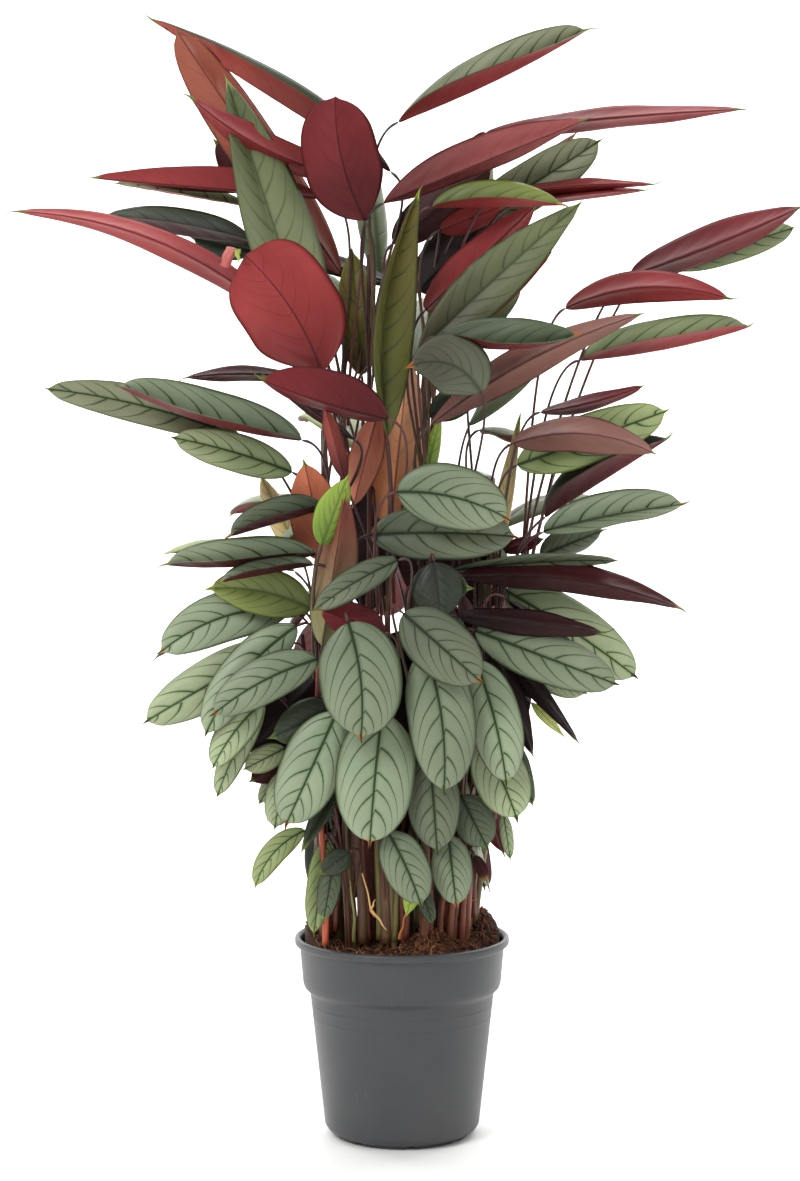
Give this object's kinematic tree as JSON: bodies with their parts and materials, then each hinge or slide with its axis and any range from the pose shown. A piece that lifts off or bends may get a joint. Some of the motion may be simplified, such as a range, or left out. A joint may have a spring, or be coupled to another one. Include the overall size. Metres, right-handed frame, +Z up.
{
  "type": "potted prayer plant",
  "caption": "Tall leafy clump of slender stems with oval leaves, silver-green with dark veins above and wine red beneath, rooted in the soil of a round dark grey nursery pot.",
  "frame": {"origin": "middle of the flat pad under the round pot, on the pot's own axis, at the level that the pot stands on", "axes": "+Z up along the pot's axis, the plant's front faces -Y, and +X is to the right of someone who looks at the front"},
  "size_m": [0.7522, 0.4259, 1.1128],
  "materials": {
    "pot": "satin",
    "soil": "matte",
    "leaf_silver": "satin",
    "leaf_wine": "satin"
  },
  "bodies": {
    "root": {"pot": "pot", "soil": "soil", "shoot_top_fan": "leaf_wine", "shoot_tall_left": "leaf_wine", "shoot_left_high": "leaf_wine", "shoot_right_fan": "leaf_wine", "shoot_centre_right": "leaf_wine", "shoot_right_high": "leaf_wine", "shoot_right_middle": "leaf_wine", "shoot_middle": "leaf_silver", "shoot_left_middle": "leaf_silver", "shoot_left_skirt": "leaf_silver", "shoot_left_front": "leaf_silver", "shoot_front": "leaf_silver", "shoot_front_right": "leaf_silver", "shoot_right_skirt": "leaf_silver", "shoot_right_low": "leaf_silver", "shoot_back_right": "leaf_silver", "shoot_back": "leaf_silver", "shoot_back_left": "leaf_silver", "shoot_back_skirt": "leaf_silver"}
  },
  "joints": []
}
